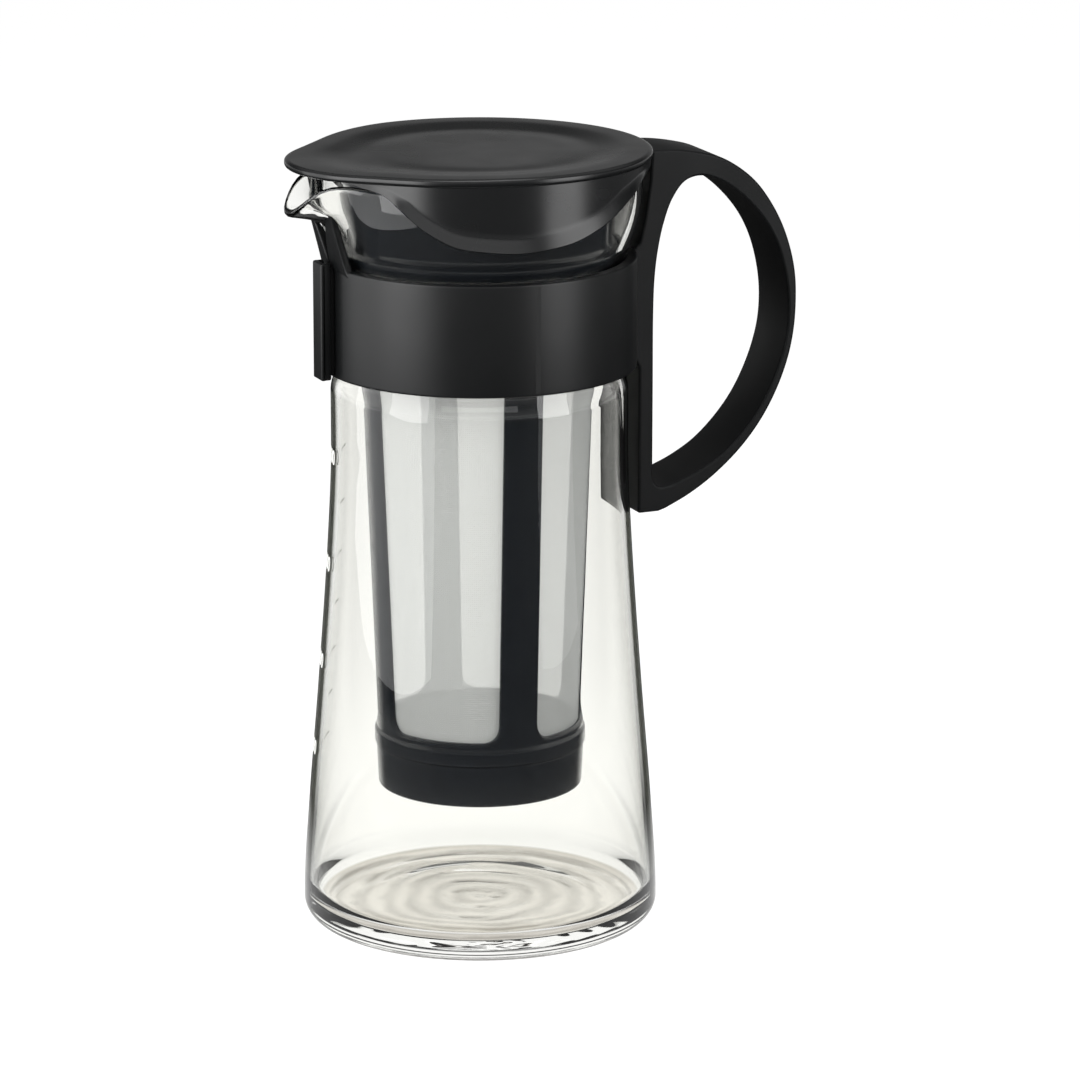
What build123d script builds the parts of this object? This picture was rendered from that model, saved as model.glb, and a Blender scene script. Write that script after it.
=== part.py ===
from build123d import *
from math import atan2, cos, degrees, exp, pi, radians, sin, sqrt
import os

# Cold brew coffee maker: a glass jug with a clamped-on band and handle, a lift-out mesh filter and a
# lid. Millimetres, +Z up. The origin is the centre of the jug's foot on the table. The handle points
# along +X, the pouring lip along -X, and everything is symmetric about the XZ plane.

# ---------------------------------------------------------------- driving dimensions, glass jug
FOOT_R = 38.7
FOOT_CORNER = 4.8
BODY_R = FOOT_R + FOOT_CORNER
PUSH_UP = 0.8
PUSH_UP_R = 29.0
FLOOR_Z = 4.6
FLOOR_CORNER = 6.0
GLASS_WALL = 2.0
BODY_CURVE = [(42.05, 29), (39.5, 60), (37.0, 95)]
WAIST_R = 36.0
WAIST_Z = (120.0, 131.0)
NECK_R = 35.0
NECK_Z = (137.0, 164.0)
RIM_Z = 186.6
MOUTH_TOP = 188.0
LIP_ANGLE = 14.2
LIP_POWER = 2.3
LIP_DROOP = 7.7
LIP_START_X = -37.5
LIP_SHOULDER = (-44.6, 2.4)
LIP_TIP_X = -49.6
MOUTH_FLARE = 4.3
FLARE_HEIGHT = 8.95
FLARE_POWER = 1.6
LIP_REACH = 10.7
LIP_MID_Z = 176.8
LIP_SPREAD = 0.7
KEEL_ANGLE = 8.9
FLANK_RISE = 4.5
FLANK_SPREAD = 1.2
MOUTH_STEP_Z = 2.0
RING_POINTS = 40
MOUTH_STEP = 0.2

# ---------------------------------------------------------------- driving dimensions, band and handle
GLASS_GAP = 0.25
BAND_IN_R = NECK_R + GLASS_GAP
BAND_R = 38.0
BAND_Z = (138.5, 165.5)
BAND_EDGE = 0.5
SLIT = 0.9
FLANGE_T = 1.2
FLANGE_X = -40.2
TONGUE_TOP = 180.5
TONGUE_T = 1.9
TONGUE_BASE_R = 36.1
TONGUE_TOP_R = 40.6
HANDLE_W = 18.0
SPINE_X = (38.2, 42.0)
FOOT_END_Z = 99.5
ROOT_TOP_Z = 189.0
LID_CLEAR_R = 42.1
HANDLE_EDGE = 0.5

# ---------------------------------------------------------------- driving dimensions, band clip
CLIP_X = -41.7
CLIP_REACH_X = -39.1
CLIP_W = 5.8
CLIP_Z = (138.2, 166.7)
CLIP_GAP = 0.06
CLIP_CORNER = 0.7
CLIP_FOOT_CORNER = 1.6
CLIP_FOOT_T = 1.5

# ---------------------------------------------------------------- driving dimensions, lid
LID_R = 41.6
NOSE_TIP = 48.0
NOSE_R = 26.5
LID_Z = (189.4, 191.5)
LID_EDGE = 0.4
BRIM_W = 5.4
BRIM_FALL = 0.5
NOSE_DROOP = 1.1
DROOP_FROM_X = -10.0
DISH_R = 24.5
DISH_TOP_R = 35.5
DISH_DEPTH = 0.6
FLAP_R = 41.2
FLAP_T = 1.3
LIP_OUT = 1.1
LIP_TALL = 3.6
SEAT_R = 33.4
PLUG_R = 30.8
PLUG_T = 1.4
PLUG_BOTTOM = 181.5

# ---------------------------------------------------------------- driving dimensions, filter
COLLAR_TOP = 185.6
COLLAR_R = (31.8, 32.9)
COLLAR_WALL = 1.3
COLLAR_BEAD = 0.7
SEAT_FLANGE_R = 33.7
SEAT_FLANGE_Z = (164.6, 168.6)
FRAME_R_AT_SILL = 25.35
FRAME_TAPER = 0.0395
FRAME_WALL = 1.2
SILL_Z = 50.2
LINTEL_Z = 152.0
RIB_W = 10.0
WINDOW_CORNER = 4.0
SILL_RING_R = 25.8
CAP_SEAM_Z = 44.4
SPIGOT_R = 23.4
SPIGOT_BOTTOM = 38.6
MESH_T = 0.4
CAP_R = (24.9, 25.4)
CAP_BOTTOM = 33.8
CAP_CORNER = 2.4
CAP_WALL = 1.5


def turned(outline):
    """Body of revolution about Z from an outline drawn as (radius, height)."""
    return revolve(Plane.XZ * make_face(outline), Axis.Z)


def slab(outline, width):
    """Plate of the given width, centred on the XZ plane, from an outline drawn as (x, height)."""
    return extrude(Plane.XZ * make_face(outline), amount=width / 2, both=True)


def ring_band(inner, outer, low, high):
    return turned(Polyline((inner, low), (outer, low), (outer, high), (inner, high), (inner, low)))


def frame_radius(height):
    """Outer radius of the filter's tapered cage at a height."""
    return FRAME_R_AT_SILL + FRAME_TAPER * (height - SILL_Z)


# ---------------------------------------------------------------- glass jug
def lip_shape(angle):
    """1 at the middle of the pouring lip, falling smoothly to 0 at its sides."""
    return exp(-((abs(angle) / LIP_ANGLE) ** LIP_POWER))


def mouth_radius(height):
    """Radius of the flaring mouth away from the pouring lip."""
    rise = (height - NECK_Z[1]) / FLARE_HEIGHT
    return NECK_R + MOUTH_FLARE * (1 - exp(-(rise**FLARE_POWER)))


def lip_reach(height, angle):
    """How far the pouring lip stands out of the mouth: a low keel with flanks that open higher up."""
    flank = 1 - exp(-((angle / KEEL_ANGLE) ** 2))
    middle = LIP_MID_Z + FLANK_RISE * flank
    spread = LIP_SPREAD + FLANK_SPREAD * flank
    return LIP_REACH * lip_shape(angle) / (1 + exp((middle - height) / spread))


def mouth_ring(height, radius, lip_height=0.0):
    """One level section of the mouth: a circle that bulges towards -X."""
    points = []
    for i in range(RING_POINTS):
        turn = 360.0 * i / RING_POINTS
        off = turn if turn <= 180 else turn - 360
        reach = radius + lip_reach(lip_height, off)
        points.append(Vector(-reach * cos(radians(turn)), -reach * sin(radians(turn)), height))
    return Face(Wire([Edge.make_spline(points, periodic=True)]))


def mouth(wall):
    """The flaring mouth from the neck up, set in from the outer skin by the wall."""
    sections = [mouth_ring(NECK_Z[1], NECK_R - wall - MOUTH_STEP)]
    for i in range(1, round((MOUTH_TOP - NECK_Z[1]) / MOUTH_STEP_Z) + 1):
        level = NECK_Z[1] + i * MOUTH_STEP_Z
        sections.append(mouth_ring(level, mouth_radius(level) - wall, level - wall))
    return loft(sections)


def jug_body(wall):
    """The turned lower jug, up to the top of the neck; wall 0 is the outer skin."""
    if wall:
        floor, corner, bottom_r = FLOOR_Z, FLOOR_CORNER, BODY_R - wall - FLOOR_CORNER
    else:
        floor, corner, bottom_r = 0.0, FOOT_CORNER, FOOT_R
    side = bottom_r + corner
    heel = RadiusArc((bottom_r, floor), (side, floor + corner), -corner)
    body = Spline(
        [(side, floor + corner)] + [(r - wall, z) for r, z in BODY_CURVE] + [(WAIST_R - wall, WAIST_Z[0])],
        tangents=[(0, 1), (0, 1)],
    )
    waist = Line((WAIST_R - wall, WAIST_Z[0]), (WAIST_R - wall, WAIST_Z[1]))
    shoulder = Spline(
        [(WAIST_R - wall, WAIST_Z[1]), (NECK_R - wall, NECK_Z[0])], tangents=[(0, 1), (0, 1)]
    )
    neck = Polyline(
        (NECK_R - wall, NECK_Z[0]), (NECK_R - wall, NECK_Z[1]), (0, NECK_Z[1]), (0, floor), (bottom_r, floor)
    )
    return turned(heel + body + waist + shoulder + neck)


def above_rim():
    """Everything above the rim, which dips at the pouring lip."""
    shoulder_x, shoulder_drop = LIP_SHOULDER
    dip = Spline(
        [(LIP_START_X, RIM_Z), (shoulder_x, RIM_Z - shoulder_drop), (LIP_TIP_X, RIM_Z - LIP_DROOP)],
        tangents=[(-1, 0), (-1, -0.6)],
    )
    rest = Polyline(
        (LIP_TIP_X, RIM_Z - LIP_DROOP),
        (LIP_TIP_X - 8, RIM_Z - LIP_DROOP - 2),
        (LIP_TIP_X - 8, RIM_Z + 10),
        (60, RIM_Z + 10),
        (60, RIM_Z),
        (LIP_START_X, RIM_Z),
    )
    return slab(dip + rest, 120)


def glass_jug():
    outer = jug_body(0) + mouth(0) - above_rim()
    inner = jug_body(GLASS_WALL) + mouth(GLASS_WALL)
    edge, flat = PUSH_UP_R + 1, PUSH_UP_R - 3
    push_up = turned(Polyline((0, -1), (edge, -1), (edge, 0), (flat, PUSH_UP), (0, PUSH_UP), (0, -1)))
    return outer - inner - push_up


# ---------------------------------------------------------------- handle and band, one moulding
def handle_loop():
    """The strap handle: spine, foot, arch and root in one plate with a finger opening."""
    spine_in, spine_out = SPINE_X
    arch = Spline(
        [(41.0, ROOT_TOP_Z + 0.3), (53, 188.2), (64, 183.9), (72.6, 175.2), (78.2, 163.2), (80.2, 150),
         (78.4, 135.6), (71.5, 120.6), (58, 107), (45.5, 100.2)],
        tangents=[(1, 0.02), (-1, -0.35)],
    )
    outside = arch + Polyline(
        (45.5, 100.2),
        (43, FOOT_END_Z),
        (spine_in, FOOT_END_Z),
        (spine_in, BAND_Z[0] - 3),
        (BAND_R - 1.6, BAND_Z[0]),
        (BAND_R - 1.6, BAND_Z[1]),
        (spine_in, BAND_Z[1] + 1.5),
        (39.6, 174),
        (41.0, 182.5),
        (41.0, ROOT_TOP_Z + 0.3),
    )
    opening_arch = Spline(
        [(42.0, 155), (43.7, 167.2), (46.6, 176.9), (53, 182.4), (61.5, 179.6), (70.2, 171.2), (75.6, 161.2),
         (78.0, 149), (76.6, 137), (71.2, 124.4), (60.4, 112.6), (50.2, 107.4)],
        tangents=[(0, 1), (-1, -0.42)],
    )
    opening = opening_arch + Spline(
        [(50.2, 107.4), (43.6, 105.6), (42.0, 108.4)], tangents=[(-1, -0.42), (0, 1)]
    ) + Line((spine_out, 108.4), (spine_out, 155))
    loop = slab(outside, HANDLE_W) - slab(opening, HANDLE_W + 2)
    return fillet(loop.faces().filter_by(Axis.Y).edges(), HANDLE_EDGE)


def neck_band():
    """The open ring round the neck, with two flanges side by side at its slit."""
    height = BAND_Z[1] - BAND_Z[0]
    middle = BAND_Z[0] + height / 2
    ring = Pos(0, 0, middle) * (Cylinder(BAND_R, height) - Cylinder(BAND_IN_R, height))
    ring = fillet(ring.edges().filter_by(GeomType.CIRCLE), BAND_EDGE)
    root_x = 1 - BAND_R
    for side in (-1, 1):
        flange = Box(root_x - FLANGE_X, FLANGE_T, height - 1.2)
        ring += Pos((FLANGE_X + root_x) / 2, side * (SLIT + FLANGE_T) / 2, middle + 0.6) * flange
    return ring - Pos(-BAND_R, 0, middle) * Box(12, SLIT, height + 2)


def lip_tongues():
    """Two tongues that rise from the band's ends and cradle the pouring lip from below."""
    z0, z1 = BAND_Z[1] - 1.5, TONGUE_TOP
    shell = turned(
        Polyline(
            (TONGUE_BASE_R, z0), (TONGUE_BASE_R + TONGUE_T, z0), (TONGUE_TOP_R + TONGUE_T, z1 + 1),
            (TONGUE_TOP_R, z1 + 1), (TONGUE_BASE_R, z0),
        )
    )
    tongues = Part()
    for side in (-1, 1):
        outline = Polyline(
            (side * 0.6, z0), (side * 1.2, 168.5), (side * 6.0, TONGUE_TOP), (side * 9.4, TONGUE_TOP),
            (side * 9.8, 174), (side * 11.5, z0), (side * 0.6, z0),
        )
        blank = extrude(Plane.YZ * make_face(outline), amount=-60)
        tongues += shell & blank
    return tongues


def handle_band():
    loop = handle_loop()
    lid_room = Pos(0, 0, 186) * Cylinder(LID_CLEAR_R, 14)
    tongues = lip_tongues() - mouth(-GLASS_GAP)
    return loop - lid_room + neck_band() + tongues


# ---------------------------------------------------------------- band clip
def band_clip():
    """A channel, closed at its foot, pushed up over the two flanges to hold the band shut."""
    z0, z1 = CLIP_Z
    depth = CLIP_REACH_X - CLIP_X
    blank = Pos(CLIP_X + depth / 2, 0, (z0 + z1) / 2) * Box(depth, CLIP_W, z1 - z0)
    blank = fillet(blank.edges().filter_by(Axis.Z).sort_by(Axis.X)[:2], CLIP_CORNER)
    foot_edges = blank.edges().filter_by(Axis.Y).group_by(Axis.Z)[0]
    blank = fillet(foot_edges.sort_by(Axis.X)[0], CLIP_FOOT_CORNER)
    room_w = SLIT + 2 * FLANGE_T + 2 * CLIP_GAP
    room_x = FLANGE_X - CLIP_GAP
    room_h = z1 - z0 - CLIP_FOOT_T
    room = Pos(room_x + 10, 0, z0 + CLIP_FOOT_T + room_h / 2 + 1) * Box(20, room_w, room_h + 2)
    return blank - room


# ---------------------------------------------------------------- lid
def lid_outline():
    """The rim circle drawn out to a rounded nose over the pouring lip, as seen from above."""
    nose_at = NOSE_TIP - NOSE_R
    lean = (LID_R - NOSE_R) / nose_at
    rise = sqrt(1 - lean * lean)
    upper_big, lower_big = (-LID_R * lean, LID_R * rise), (-LID_R * lean, -LID_R * rise)
    upper_nose = (-nose_at - NOSE_R * lean, NOSE_R * rise)
    lower_nose = (upper_nose[0], -upper_nose[1])
    return (
        ThreePointArc(lower_big, (LID_R, 0), upper_big)
        + Line(upper_big, upper_nose)
        + ThreePointArc(upper_nose, (-NOSE_TIP, 0), lower_nose)
        + Line(lower_nose, lower_big)
    )


def lid_side():
    """The lid from the side, as x and height: flat, with the nose bending down a little."""
    z0, z1 = LID_Z
    start, end = DROOP_FROM_X, -NOSE_TIP - 1
    middle = (start + end) / 2
    low, high = z0 - 0.7 * NOSE_DROOP, z1 - NOSE_DROOP
    top = Spline([(start, z1), (middle, z1 - 0.55 * NOSE_DROOP), (end, high)], tangents=[(-1, 0), (-1, 0)])
    under = Spline([(end, low), (middle, z0 - 0.4 * NOSE_DROOP), (start, z0)], tangents=[(1, 0), (1, 0)])
    body = Polyline((start, z0), (LID_R + 1, z0), (LID_R + 1, z1), (start, z1))
    return top + Line((end, high), (end, low)) + under + body


def lid_plate():
    """The shallow saucer: a brim that falls away to its edge round a dished middle."""
    z0, z1 = LID_Z
    brim_z = z1 - BRIM_FALL
    slope = degrees(atan2(BRIM_W, BRIM_FALL))
    outline = make_face(lid_outline())
    wall = extrude(Pos(0, 0, z0 - 4) * outline, amount=brim_z - z0 + 4)
    brim = extrude(Pos(0, 0, brim_z) * outline, amount=BRIM_FALL, taper=slope)
    saucer = wall + brim
    edges = saucer.edges().filter_by_position(Axis.Z, brim_z - 0.01, brim_z + 0.01)
    plate = fillet(edges, LID_EDGE) & slab(lid_side(), 100)
    dish = turned(
        Line((0, z1 - DISH_DEPTH), (DISH_R, z1 - DISH_DEPTH))
        + Spline([(DISH_R, z1 - DISH_DEPTH), (DISH_TOP_R, z1)], tangents=[(1, 0), (1, 0)])
        + Polyline((DISH_TOP_R, z1), (DISH_TOP_R, z1 + 2), (0, z1 + 2), (0, z1 - DISH_DEPTH))
    )
    return plate - dish


def smile(raise_by):
    """The flaps' lower edge, as x and height, drawn from the pouring lip's side to the handle's."""
    return Spline(
        [(-38.5, 187.9 + raise_by), (-33.6, 186.4 + raise_by), (-27.5, 180.0 + raise_by),
         (-20, 175.2 + raise_by), (-6, 173.7 + raise_by), (7, 175.3 + raise_by), (17.5, 179.3 + raise_by),
         (25.5, 184.0 + raise_by), (33, 187.4 + raise_by), (39.5, 188.4 + raise_by)]
    )


def above_smile(raise_by):
    curve = smile(raise_by)
    a, b = curve @ 0, curve @ 1
    high = LID_Z[1] + 10
    frame = Polyline((b.X, b.Y), (44, b.Y), (44, high), (-44, high), (-44, a.Y), (a.X, a.Y))
    return slab(curve + frame, 120)


def lid_flaps():
    """A skirt left standing only at the two sides, each with a turned-out finger lip below."""
    z1 = LID_Z[0] + 0.5
    z0 = 172.0
    wall = ring_band(FLAP_R - FLAP_T, FLAP_R, z0, z1)
    lip = ring_band(FLAP_R - 0.6, FLAP_R + LIP_OUT, z0, z1)
    lip = (lip & above_smile(0)) - above_smile(LIP_TALL)
    lip &= Pos(0, 0, z0 + 6) * Box(66, 100, 24)
    return (wall & above_smile(0)) + lip


def lid():
    z0 = LID_Z[0] + 0.4
    seat = turned(
        Polyline((PLUG_R - PLUG_T, z0), (SEAT_R, z0), (SEAT_R - 0.6, COLLAR_TOP), (PLUG_R, COLLAR_TOP),
                 (PLUG_R - 0.3, PLUG_BOTTOM), (PLUG_R - PLUG_T, PLUG_BOTTOM), (PLUG_R - PLUG_T, z0))
    )
    return lid_plate() + lid_flaps() + seat


# ---------------------------------------------------------------- filter
def filter_window(turn):
    """The cutter for one tall window: narrower at the sill, with rounded corners."""
    def half_width(height):
        radius = frame_radius(height)
        rib_angle = (RIB_W / 2) / radius
        return radius * sin(pi / 4 - rib_angle)

    low, high = half_width(SILL_Z), half_width(LINTEL_Z)
    outline = Polyline((-low, SILL_Z), (low, SILL_Z), (high, LINTEL_Z), (-high, LINTEL_Z), (-low, SILL_Z))
    shape = make_face(outline)
    shape = fillet(shape.vertices(), WINDOW_CORNER)
    cutter = extrude(Plane.YZ * shape, amount=60)
    return Rot(0, 0, turn) * cutter


def filter_frame():
    """Collar, seat flange, tapered cage with four windows, and the spigot for the cap."""
    low_r, top_r = COLLAR_R
    f0, f1 = SEAT_FLANGE_Z
    sill_r, neck_r = frame_radius(SILL_Z), frame_radius(f0)
    bead_r, bore_r = top_r + COLLAR_BEAD, SPIGOT_R - 1.1
    foot = [
        (bore_r, SPIGOT_BOTTOM), (SPIGOT_R, SPIGOT_BOTTOM), (SPIGOT_R, CAP_SEAM_Z), (SILL_RING_R, CAP_SEAM_Z)
    ]
    cage = [(SILL_RING_R, SILL_Z - 0.4), (sill_r, SILL_Z), (neck_r, f0 - 1.2)]
    seat = [
        (SEAT_FLANGE_R - 1.5, f0), (SEAT_FLANGE_R, f1 - 0.8), (SEAT_FLANGE_R - 0.5, f1), (low_r + 0.3, f1 + 0.2)
    ]
    collar = [
        (low_r, f1 + 1.4), (top_r - 0.15, COLLAR_TOP - 2.0), (bead_r, COLLAR_TOP - 1.3), (bead_r, COLLAR_TOP)
    ]
    inside = [
        (top_r - COLLAR_WALL, COLLAR_TOP), (low_r - COLLAR_WALL, f1), (neck_r - FRAME_WALL, f0 - 1.2),
        (sill_r - FRAME_WALL, SILL_Z), (bore_r, CAP_SEAM_Z + 1), (bore_r, SPIGOT_BOTTOM),
    ]
    skin = Polyline(*foot, *cage, *seat, *collar, *inside)
    body = turned(skin)
    for i in range(4):
        body -= filter_window(45 + 90 * i)
    return body


def filter_mesh():
    """The woven sleeve that lines the cage, behind its ribs."""
    z0, z1 = SILL_Z - 0.05, LINTEL_Z + 6
    gap = FRAME_WALL + 0.05
    low, high = frame_radius(z0) - gap, frame_radius(z1) - gap
    return turned(Polyline((low, z0), (high, z1), (high - MESH_T, z1), (low - MESH_T, z0), (low, z0)))


def filter_cap():
    """The pull-off cup that closes the filter's foot."""
    bottom_r, seam_r = CAP_R
    inner = SPIGOT_R + 0.12
    floor = CAP_BOTTOM + CAP_WALL
    outside = [(0, CAP_BOTTOM), (bottom_r, CAP_BOTTOM), (seam_r, CAP_SEAM_Z)]
    cup = turned(Polyline(*outside, (inner, CAP_SEAM_Z), (inner, floor), (0, floor), (0, CAP_BOTTOM)))
    rim = cup.edges().filter_by(GeomType.CIRCLE).group_by(Axis.Z)[0]
    return fillet(rim, CAP_CORNER)


def write_part(name, shape):
    export_step(shape, f"parts/{name}.step")


os.makedirs("parts", exist_ok=True)
write_part("glass_jug", glass_jug())
write_part("handle_band", handle_band())
write_part("band_clip", band_clip())
write_part("lid", lid())
write_part("filter_frame", filter_frame())
write_part("filter_mesh", filter_mesh())
write_part("filter_cap", filter_cap())
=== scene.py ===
"""Cold brew coffee maker: glass jug, clamped band and handle, saucer lid and lift-out mesh filter.

Lengths in the settings are metres. Heights and radii inside the shape functions are millimetres, and
each finished mesh is scaled once. The jug's axis is Z, the pouring lip points to -X, the handle to +X.
"""

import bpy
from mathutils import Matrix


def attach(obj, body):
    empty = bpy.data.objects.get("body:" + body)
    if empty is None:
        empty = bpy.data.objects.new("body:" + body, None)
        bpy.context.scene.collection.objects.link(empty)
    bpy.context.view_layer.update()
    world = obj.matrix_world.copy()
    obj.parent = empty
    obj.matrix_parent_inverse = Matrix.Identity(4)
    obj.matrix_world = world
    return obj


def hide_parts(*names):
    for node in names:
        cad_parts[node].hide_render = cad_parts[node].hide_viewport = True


bl_info = {
    "name": "Cold brew coffee maker",
    "version": (1, 0, 0),
    "blender": (4, 5, 0),
    "location": "3D View > Sidebar > Coffee Maker",
    "description": "Builds a glass cold brew jug with its band and handle, lid and mesh filter",
    "category": "Add Mesh",
}

from math import atan2, cos, degrees, exp, hypot, pi, radians, sin, sqrt, tau

import bmesh
import bpy
from mathutils import Matrix, Vector

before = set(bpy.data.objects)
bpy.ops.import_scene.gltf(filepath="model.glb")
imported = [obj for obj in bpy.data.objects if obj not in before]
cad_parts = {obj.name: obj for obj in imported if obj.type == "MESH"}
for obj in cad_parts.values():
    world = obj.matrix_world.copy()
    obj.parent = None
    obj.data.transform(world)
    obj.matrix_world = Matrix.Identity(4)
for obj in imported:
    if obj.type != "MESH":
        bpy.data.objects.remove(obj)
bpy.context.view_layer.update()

MM = 0.001
AROUND = 192  # points in one ring of the jug, band and lid
ANGLES = [tau * j / AROUND for j in range(AROUND)]


# ---------------- shared helpers
def linear(code):
    """An sRGB hex colour as linear red, green, blue and alpha."""
    parts = [int(code[i : i + 2], 16) / 255 for i in (1, 3, 5)]
    return tuple(c / 12.92 if c <= 0.04045 else ((c + 0.055) / 1.055) ** 2.4 for c in parts) + (1.0,)


def grey(level):
    """A level of light as a colour."""
    return (level, level, level, 1.0)


def chosen(name):
    """A colour of the settings, with alpha."""
    return getattr(bpy.context.scene.brew_colours, name)[:] + (1.0,)


def new_material(name):
    """A material with an empty node tree."""
    material = bpy.data.materials.new(name)
    material.use_nodes = True
    material.node_tree.nodes.clear()
    return material, material.node_tree


def add_node(tree, kind, inputs=None, stops=(), **settings):
    """Adds a node with its settings. Inputs map a socket to a value, to an output of another node, or to
    a node that stands for its first output. Stops are a colour ramp's places and colours."""
    node = tree.nodes.new(kind)
    for name, value in settings.items():
        setattr(node, name, value)
    for key, value in (inputs or {}).items():
        if isinstance(value, bpy.types.Node):
            value = value.outputs[0]
        if isinstance(value, bpy.types.NodeSocket):
            tree.links.new(value, node.inputs[key])
        else:
            node.inputs[key].default_value = value
    if stops:
        ramp = node.color_ramp.elements
        ramp[0].position, ramp[0].color = stops[0]
        ramp[1].position, ramp[1].color = stops[-1]
        for place, colour in stops[1:-1]:
            ramp.new(place).color = colour
    return node


def smooth_step(t):
    """From 0 to 1, level at both ends."""
    t = min(max(t, 0.0), 1.0)
    return t * t * (3 - 2 * t)


def quarter_turn(steps):
    """Angles from nought to a right angle."""
    return [0.5 * pi * k / steps for k in range(steps + 1)]


def height_curve(points):
    """A smooth radius over height through (height, radius) points, level at both ends."""

    def radius(z):
        if z <= points[0][0]:
            return points[0][1]
        if z >= points[-1][0]:
            return points[-1][1]
        i = max(k for k in range(len(points) - 1) if points[k][0] <= z)
        (z0, r0), (z1, r1) = points[i], points[i + 1]

        def slope(k):
            if k in (0, len(points) - 1):
                return 0.0
            return (points[k + 1][1] - points[k - 1][1]) / (points[k + 1][0] - points[k - 1][0])

        h = z1 - z0
        t = (z - z0) / h
        start = (2 * t**3 - 3 * t**2 + 1) * r0 + (t**3 - 2 * t**2 + t) * slope(i) * h
        return start + (3 * t**2 - 2 * t**3) * r1 + (t**3 - t**2) * slope(i + 1) * h

    return radius


def smooth_line(points, per_span):
    """A dense plane line through the points (centripetal Catmull-Rom)."""

    def blend(a, b, start, end, t):
        return a * ((end - t) / (end - start)) + b * ((t - start) / (end - start))

    pts = [Vector(p) for p in points]
    pts = [2 * pts[0] - pts[1]] + pts + [2 * pts[-1] - pts[-2]]
    line = []
    for a, b, c, d in zip(pts, pts[1:], pts[2:], pts[3:]):
        t1 = (b - a).length ** 0.5
        t2 = t1 + (c - b).length ** 0.5
        t3 = t2 + (d - c).length ** 0.5
        for k in range(per_span):
            t = t1 + (t2 - t1) * k / per_span
            ab, bc, cd = blend(a, b, 0.0, t1, t), blend(b, c, t1, t2, t), blend(c, d, t2, t3, t)
            abc, bcd = blend(ab, bc, 0.0, t2, t), blend(bc, cd, t1, t3, t)
            line.append(tuple(blend(abc, bcd, t1, t2, t)))
    line.append(tuple(pts[-2]))
    return line


def rounded_outline(corners, radius, steps):
    """A closed outline with each corner rounded; a corner may carry its own radius."""
    out = []
    n = len(corners)
    for i, corner in enumerate(corners):
        here = Vector(corner[:2])
        before, after = Vector(corners[i - 1][:2]), Vector(corners[(i + 1) % n][:2])
        reach = corner[2] if len(corner) > 2 else radius
        u, v = (before - here).normalized(), (after - here).normalized()
        half = u.angle(v) / 2
        if reach <= 0 or abs(half - pi / 2) < 0.02:
            out.append(tuple(here))
            continue
        cut = reach / max(0.05, abs(sin(half) / cos(half)))
        cut = min(cut, 0.48 * (before - here).length, 0.48 * (after - here).length)
        start, end = here + u * cut, here + v * cut
        for k in range(steps + 1):
            t = k / steps
            out.append(tuple(start * (1 - t) ** 2 + here * 2 * t * (1 - t) + end * t * t))
    return out


def rounded_box(left, right, low, high, radius, steps):
    """The outline of a rectangle with rounded corners."""
    return rounded_outline([(left, low), (right, low), (right, high), (left, high)], radius, steps)


def height_on(line, x, before, after):
    """Height of a line of (x, height) points at x, and what holds before and after it."""
    for (x0, z0), (x1, z1) in zip(line, line[1:]):
        if x0 <= x <= x1:
            return z0 + (z1 - z0) * (x - x0) / max(1e-6, x1 - x0)
    return before if x < line[0][0] else after


def polar(radius, angle, z):
    """A point at an angle measured from -X towards -Y."""
    return (-radius * cos(angle), -radius * sin(angle), z)


def skin(rings, wrap=False, first=None, last=None):
    """Points and faces of a skin through rings of equal length; first and last are tips or "cap"."""
    n = len(rings[0])
    points = [p for ring in rings for p in ring]
    faces = []
    for i in range(len(rings) if wrap else len(rings) - 1):
        a, b = i * n, ((i + 1) % len(rings)) * n
        for j in range(n):
            k = (j + 1) % n
            faces.append((a + j, a + k, b + k, b + j))
    for tip, start in ((first, 0), (last, (len(rings) - 1) * n)):
        if tip == "cap":
            faces.append(tuple(range(start, start + n)))
        elif tip is not None:
            points.append(tip)
            faces += [(start + j, start + (j + 1) % n, len(points) - 1) for j in range(n)]
    return points, faces


def turned(profile, angles=ANGLES, **ends):
    """A skin turned about Z from a line of (radius, height)."""
    return skin([[polar(r, a, z) for a in angles] for r, z in profile], **ends)


def block(low, high, radius, steps=2):
    """A box with rounded edges, from its lowest and highest corner."""
    work = bmesh.new()
    bmesh.ops.create_cube(work, size=1.0)
    size = Vector(high) - Vector(low)
    middle = (Vector(high) + Vector(low)) / 2
    for v in work.verts:
        v.co = v.co * size + middle
    edges = list(work.edges)
    bmesh.ops.bevel(
        work, geom=edges, offset=radius, segments=steps, profile=0.5, affect="EDGES", clamp_overlap=True
    )
    work.verts.index_update()
    points = [tuple(v.co) for v in work.verts]
    faces = [tuple(v.index for v in f.verts) for f in work.faces]
    work.free()
    return points, faces


def evaluated(data, tree=None, inputs=None):
    """Points and faces of a curve, a text, or a mesh under a node tree, as Blender evaluates it."""
    holder = bpy.data.objects.new(data.name, data)
    bpy.context.scene.collection.objects.link(holder)
    if tree:
        modifier = holder.modifiers.new(tree.name, "NODES")
        modifier.node_group = tree
        for item in tree.interface.items_tree:
            if item.in_out == "INPUT" and item.name in inputs:
                modifier[item.identifier] = inputs[item.name]
    bpy.context.view_layer.update()
    flat = bpy.data.meshes.new_from_object(holder.evaluated_get(bpy.context.evaluated_depsgraph_get()))
    holder.modifiers.clear()
    bpy.data.objects.remove(holder)
    return [tuple(v.co) for v in flat.vertices], [tuple(p.vertices) for p in flat.polygons]


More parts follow.
